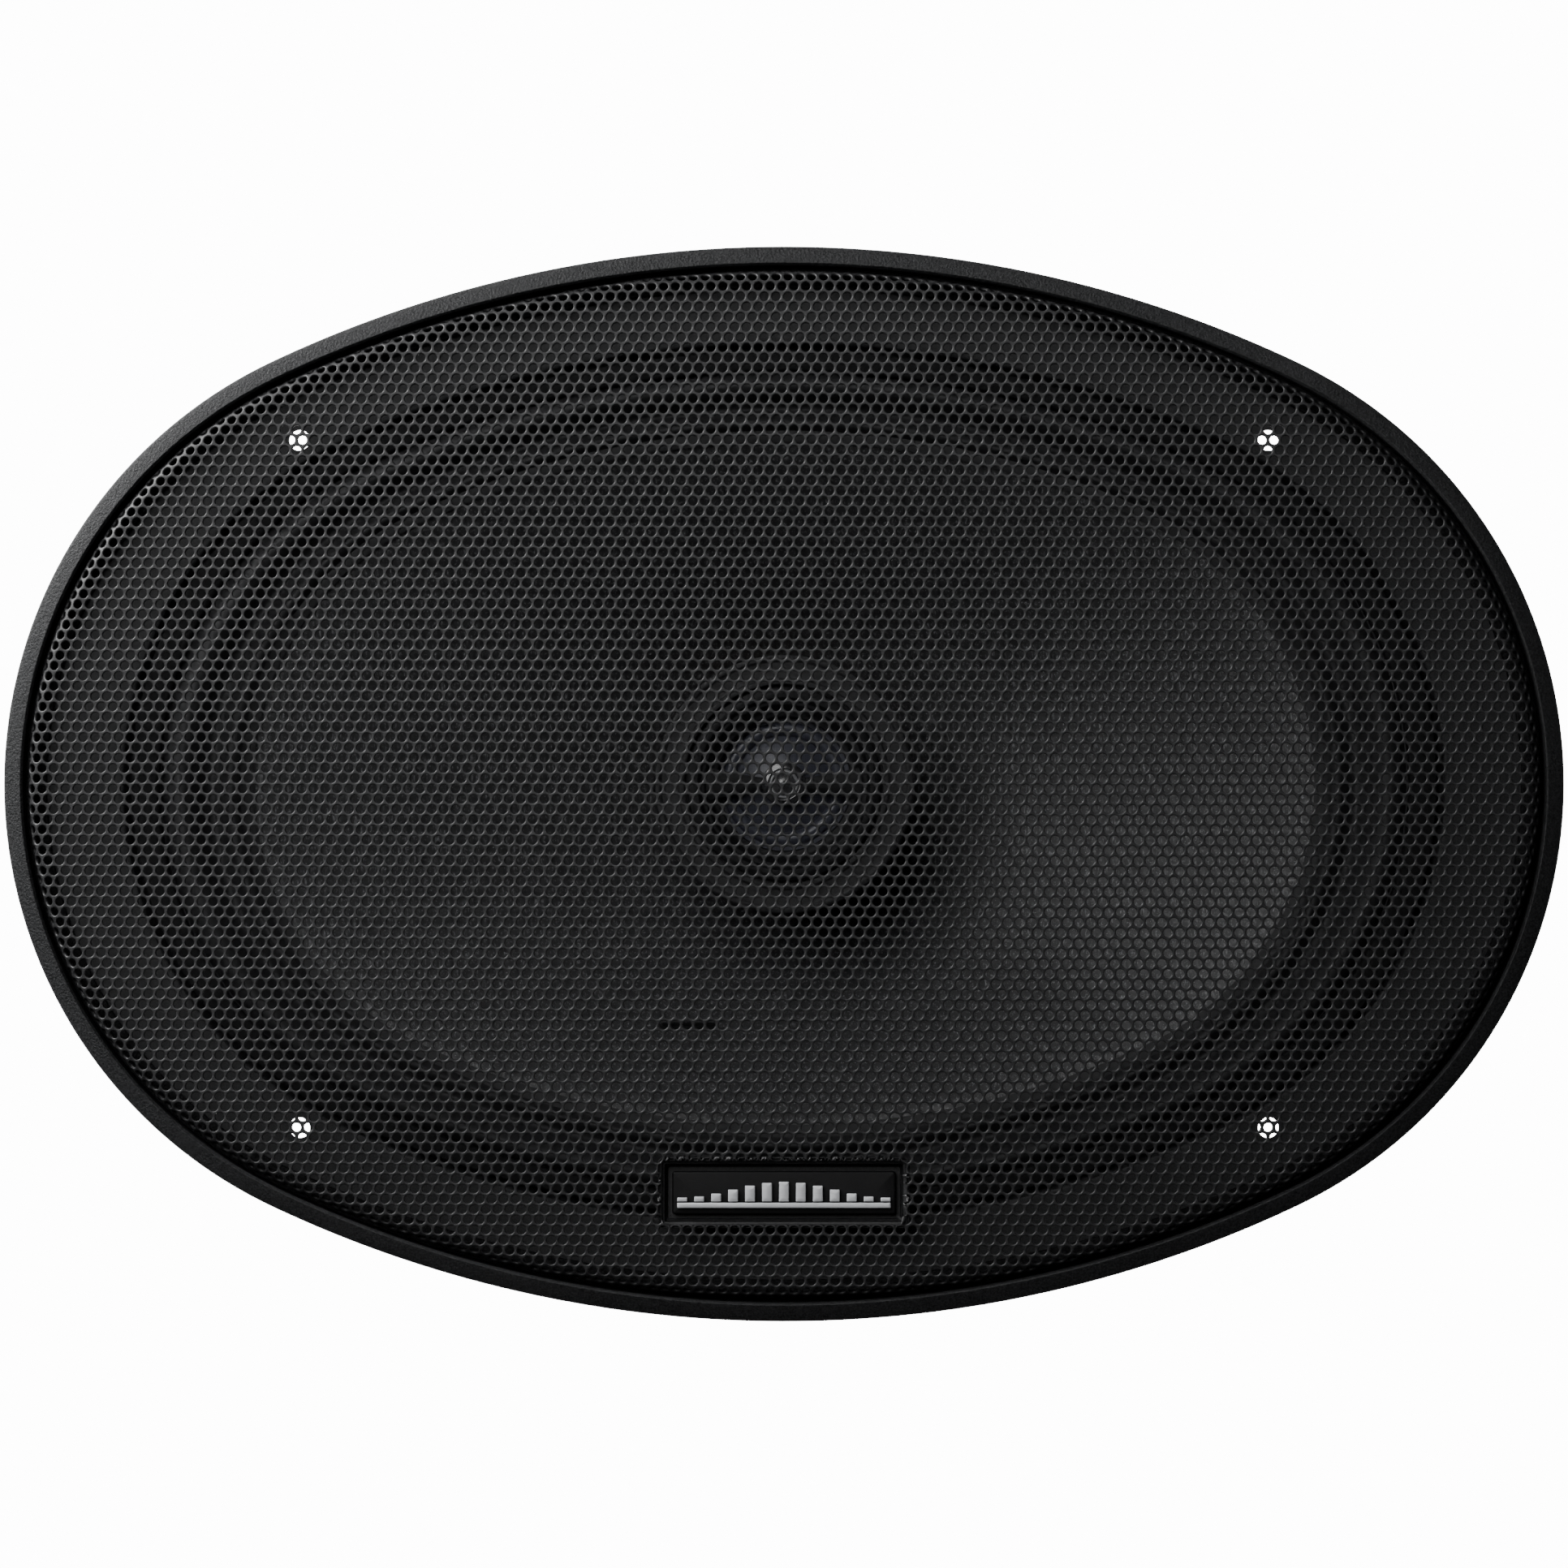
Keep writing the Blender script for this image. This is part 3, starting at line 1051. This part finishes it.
def tweeterHousing():
    foot, middle, outer = cupLow[2], tweeter["centre"], cupHigh[0]
    socket = tweeter["socket"]
    deep = math.sqrt(socket**2 - 64)
    cup = np.vstack([
        [(3.4, foot, 0.2), (6.6, foot, 0.5), (13.5, foot + 3.2, 3.0), (18.5, foot + 9.5, 3.0),
        (outer, foot + 14, 1.5),
         (outer, middle - 1.2, 0.1), (outer - 0.35, middle - 0.9, 0.1), (outer - 0.35, middle, 0.1)],
        zone(socket, 0, -deep, 12), [(3.4, middle - deep, 0.2)],
    ])
    turnedPiece("tweeterCup", cup, tweeterPlastic, "speaker_frame", ["tweeter_cup"], 128)
    top, seat = ringHigh[2], ringLow[2]
    mouth = math.sqrt(tweeter["ringInner"] ** 2 - (tweeter["face"] + 0.4) ** 2)
    ring = np.vstack([
        zone(socket, 0.3, 5.6, 6), zone(tweeter["ringInner"], 6.4, tweeter["face"] + 0.2, 4),
        [(mouth + 0.15, top, 0.15), (mouth + 0.9, top, 0.1), (mouth + 1.1, top - 0.18, 0.1),
        (outer - 1.3, top - 0.18, 0.1),
         (outer - 1.0, top, 0.15), (outer - 0.1, top, 0.7), (outer, seat, 0.2)],
    ])
    turnedPiece("tweeterFrontRing", ring, tweeterPlastic, "speaker_frame", ["tweeter_front_ring"], 128)


# Faceplate: a stepped, flared throat; the guard bar's half width grows from the button outwards, so
# that it looks like a bow tie; the button is turned with a rolled rim and a shallow dish.
def tweeterFace():
    rim = math.sqrt(tweeter["ball"] ** 2 - tweeter["face"] ** 2) - 0.1
    top, back = faceHigh[2], faceLow[2]
    plate = [
        (10.2, back, 0.2), (13.7, back, 0.1), (13.7, top - 1.1, 0.1), (rim, top - 1.1, 0.15),
        (rim, top - 0.25, 0.25),
        (13.9, top, 0.15), (13.2, top, 0.12), (12.75, top - 0.55, 0.15), (12.2, top - 0.55, 0.15),
        (11.2, top - 1.5, 0.4), (10.35, top - 1.6, 0.15), (10.2, top - 2.1, 0.15),
    ]
    plate = np.array(plate)
    skin = Skin().grid(turnSweep(rounded(plate[:, :2], plate[:, 2], bend=4), 128), wrapRows=True)
    low = top - 1.8
    for side in (1, -1):
        x = np.linspace(2.0, 11.9, 14)
        half = 0.9 + 1.7 * ((x - 2.0) / 9.9) ** 1.4
        crown = 0.25 * np.sin(np.linspace(0, math.pi, 9)) ** 0.6
        y = np.linspace(-1, 1, 9)
        upper = np.stack([np.broadcast_to(x[:, None], (14, 9)), half[:, None] * y,
            np.broadcast_to(low + 0.75 + crown, (14, 9))], -1)
        lower = upper[:, ::-1].copy()
        lower[..., 2] = low
        ends = np.concatenate([upper, lower], 1)
        closedEnds = np.concatenate([ends[:1].mean(1, keepdims=True).repeat(18, 1), ends,
            ends[-1:].mean(1, keepdims=True).repeat(18, 1)])
        skin.grid(closedEnds * [side, 1, 1])
    radius = tweeter["button"]
    button = np.array([
        (0, low, 0.01), (radius - 0.6, low, 0.3), (radius, low + 0.5, 0.3), (radius, top - 0.7, 0.12),
        (radius - 0.95, top - 0.36, 0.12), (radius - 1.3, top - 0.62, 0.2), (0.9, top - 0.6, 0.3),
        (0, top - 0.5, 0.01),
    ])
    skin.piece("tweeterFaceplate", faceBlack, "tweeter_ball", ["tweeter_faceplate"], crease=40)
    skin = Skin().grid(turnSweep(rounded(button[:, :2], button[:, 2], loop=False, bend=5), 64))
    skin.piece("tweeterButton", glossBlack, "tweeter_ball", ["tweeter_faceplate"], crease=40)
    # a plain bright ring set in the middle of the button
    turn = np.linspace(0, fullTurn, 12, endpoint=False)
    wire = np.column_stack([tweeter["buttonRing"] + 0.26 * np.cos(turn), top - 0.55 + 0.26 * np.sin(turn)])
    ring = Skin().grid(turnSweep(wire, 64), wrapRows=True)
    ring.piece("tweeterButtonRing", badgeSilver, "tweeter_ball", ["tweeter_faceplate"], crease=60)


def tweeterDome():
    base = domeLow[2] + 0.35
    edge, roll = tweeter["dome"], tweeter["roll"]
    radius = np.linspace(0, edge, 20)
    dome = np.column_stack([radius, base + tweeter["rise"] * (1 - (radius / edge) ** 2)])
    angle = np.linspace(0, math.pi, 12)[1:]
    edgeRoll = np.column_stack([edge + roll * (1 - np.cos(angle)), base + 0.9 * np.sin(angle)])
    line = np.vstack([dome, edgeRoll, [[12.0, base]]])
    skin = Skin().grid(turnSweep(line, 96))
    skin.piece("tweeterDome", domeSilk, "tweeter_diaphragm", ["tweeter_dome"], sheet=0.33, crease=60)


# Terminals and leads.

blockLow, blockHigh = span("terminal_block")
leads = {"spadeApart": 12.0, "tinsel": 0.7, "lead": 0.9, "spadeHole": 0.9}


def terminalPieces():
    body = "speaker_frame"
    halfX, halfY = (blockHigh[0] - blockLow[0]) / 2, (blockHigh[1] - blockLow[1]) / 2
    centreY = (blockHigh[1] + blockLow[1]) / 2
    x, low, high = halfX, blockLow[2], blockHigh[2]
    grid = blockGrid(x, halfY, low, high, 0.7, (0, centreY), 1.2, bend=4)
    pot = woofer["ledgeInner"] + woofer["sheet"] + 0.8
    reach = np.sqrt(np.maximum(pot**2 - grid[..., 0] ** 2, 1))
    grid[..., 1] = np.minimum(grid[..., 1], -reach)
    skin = Skin().grid(grid)
    for side in (1, -1):  # a raised collar round each blade, a rib between them
        centre = (side * leads["spadeApart"] / 2, blockLow[1] - 0.0)
        skin.grid(blockGrid(4.0, 0.7, (low + high) / 2 - 1.6, (low + high) / 2 + 1.6, 0.3,
            (centre[0], centre[1] - 0.3), 0.3))
    skin.grid(blockGrid(0.5, 1.6, low + 0.8, high - 0.8, 0.25, (0, blockLow[1] - 0.6), 0.2))
    skin.piece("terminalBlock", tweeterPlastic, body, ["terminal_block"])
    for node, name in (("terminal_plus", "bladePlus"), ("terminal_minus", "bladeMinus")):
        low, high = span(node)
        halfX, middleX = (high[0] - low[0]) / 2, (high[0] + low[0]) / 2
        length = high[1] - low[1]
        # blade outline in plan: a rectangle whose tip narrows, with a round hole as an inner loop
        t = np.arange(48) / 48 * fullTurn
        square = np.maximum(np.abs(np.cos(t)), np.abs(np.sin(t)))
        px, py = np.cos(t) / square, np.sin(t) / square
        tip = np.clip((-py - 0.86) / 0.14, 0, 1)
        outline = np.column_stack([middleX + px * halfX * (1 - 0.28 * tip),
            (low[1] + high[1]) / 2 + py * length / 2])
        holeY = low[1] + 2.6
        hole = np.column_stack([middleX + leads["spadeHole"] * np.cos(t),
            holeY + leads["spadeHole"] * np.sin(t)])
        rows = [(hole, low[2]), (outline, low[2]), (outline, high[2]), (hole, high[2])]
        grid = np.stack([np.column_stack([flat, np.full(48, z)]) for flat, z in rows])
        Skin().grid(grid, wrapRows=True).piece(name, platedBrass, body, [node], crease=30)
    capacitorPiece()
    for side, node in ((1, "tinsel_lead_plus"), (-1, "tinsel_lead_minus")):
        x = side * leads["spadeApart"] / 2
        start, outer = woofer["ledge"] + 5.5, blockLow[1]
        path = smoothPath([
            (x, outer + 1.2, start - 4.2), (x, outer + 0.6, start), (x, outer + 3.5, start + 3.2),
            (x, -44, start + 2.6),
            (x, -38, start + 2.2), (x, -33.5, start + 5.0),
        ], 12)
        turn = np.arange(len(path)) * 0.9
        grid = tubeGrid(path, leads["tinsel"] * (0.86 + 0.14 * np.abs(np.sin(turn))), 12)
        made = Skin().grid(grid).piece("tinsel" + ("Plus" if side > 0 else "Minus"), tinselBraid, None,
            [node])
        followCone(made, lambda x, y, z: (y + 34) / (outer + 34))


def capacitorPiece():
    low, high = span("crossover_capacitor")
    centre = (low + high) / 2
    angle = math.atan2(centre[1], centre[0]) + math.pi / 2
    radius, half = (high[2] - low[2]) / 2, 8.0
    corners = np.array([(0, -half, 0.01), (radius, -half, 0.9), (radius, half - 2.6, 0.3),
        (radius - 0.45, half - 2.2, 0.3),
                        (radius - 0.45, half - 1.7, 0.3), (radius, half - 1.3, 0.3), (radius, half, 0.6),
                        (radius - 0.9, half, 0.2),
                        (radius - 1.1, half - 0.25, 0.2), (0, half - 0.25, 0.01)])
    line = rounded(corners[:, :2], corners[:, 2], loop=False, bend=4)
    around = np.arange(48) / 48 * fullTurn
    along, out = line[:, 1:], line[:, :1]
    side, up = out * np.cos(around), out * np.sin(around)
    x = centre[0] + along * math.cos(angle) - side * math.sin(angle)
    y = centre[1] + along * math.sin(angle) + side * math.cos(angle)
    grid = np.stack([x, y, centre[2] + up], -1)
    Skin().grid(grid).piece("capacitorCan", capacitorSleeve, "speaker_frame", ["crossover_capacitor"])


def tweeterLeadPiece():
    radius = leads["lead"]
    run = yokeLow[2] + radius + 0.3
    riser = magnetHigh[0] + radius + 0.6
    path = smoothPath([
        (0, 0, cupLow[2] + 1), (0, 0, 40), (0, 0, 14), (0, 0, run + 4.2), (0, -1.0, run + 1.1),
        (0, -4.0, run), (0, -12, run),
        (0, -24, run), (0, -36, run), (0, -riser + 3.4, run), (0, -riser + 0.8, run + 0.9),
        (0, -riser, run + 3.4),
        (0, -riser, 14), (0, -riser, 22), (0, -riser, plateHigh[2]), (0, -riser, blockLow[2] - 0.3),
    ], 8)
    Skin().grid(tubeGrid(path, radius, 16)).piece("tweeterLead", leadJacket, "speaker_frame",
        ["tweeter_lead"])


# Polished plastic: dark, smooth, with faint wipe marks.
def polished(name):
    finish = Finish(name, specular=0.9)
    marks, dust = finish.noise(260, 4.0), finish.noise(5000, 2.0)
    finish.colour(finish.mix(marks * 0.5 + dust * 0.5, (0.010, 0.010, 0.011), (0.030, 0.030, 0.032)))
    finish.rough(0.12 + marks * 0.10)
    return finish.bump(dust, 0.1, 0.00001).material


# Zinc plate: bright grey with a faint turned grain, dulled in patches.
zincPlate = turnedMetal("zinc-plated steel", (0.26, 0.265, 0.27), (0.50, 0.51, 0.52))
bootRubber = softRubber("boot rubber", (0.004, 0.004, 0.0045), (0.010, 0.010, 0.011), specular=0.22)
ferriteGrey = powderCoat("ground ferrite", (0.020, 0.020, 0.022), (0.055, 0.055, 0.058), 500, 0.00008,
    specular=0.4)
faceBlack = grainedPlastic("tweeter faceplate black", (0.003, 0.003, 0.0033), (0.008, 0.008, 0.009), 6000,
    0.00002, specular=0.14)
glossBlack = polished("polished black button")
spiderCloth = cloth("resin-dipped spider cloth", (0.34, 0.20, 0.045), (0.56, 0.38, 0.12))
amberFilm = cloth("dark amber coil former", (0.022, 0.012, 0.005), (0.045, 0.025, 0.010), 0.002, 0.00002,
    specular=0.4)
copperWire = turnedMetal("enamelled copper", (0.42, 0.15, 0.06), (0.68, 0.29, 0.12))
platedBrass = turnedMetal("plated brass", (0.52, 0.37, 0.13), (0.76, 0.60, 0.28), 0.0009)
tinselBraid = turnedMetal("tinsel braid", (0.40, 0.24, 0.11), (0.72, 0.50, 0.26), 0.0005)
capacitorSleeve = grainedPlastic("capacitor sleeve", (0.006, 0.010, 0.030), (0.010, 0.017, 0.045), 1500,
    0.00001, specular=0.35)
leadJacket = softRubber("lead jacket", (0.012, 0.012, 0.012), (0.028, 0.028, 0.028))

basketPiece()
baseRingPiece()
gasketPiece()
surroundPiece()
conePiece()
spiderPiece()
print("basket, cone and surround made")
bootPiece()
motorPieces()
print("motor made")
tweeterHousing()
tweeterFace()
tweeterDome()
print("tweeter made")
terminalPieces()
tweeterLeadPiece()
print("terminals and leads made")

# the CAD nodes that still show, all of them inside the tweeter
hiddenFinishes = {
    "tweeter_friction_ring": tweeterPlastic, "tweeter_shell": tweeterPlastic, "tweeter_yoke": zincPlate,
    "tweeter_magnet": zincPlate, "tweeter_pole_plate": zincPlate, "tweeter_coil": copperWire,
}
for nodeName, finish in hiddenFinishes.items():
    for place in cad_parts[nodeName].material_slots:
        place.material = finish
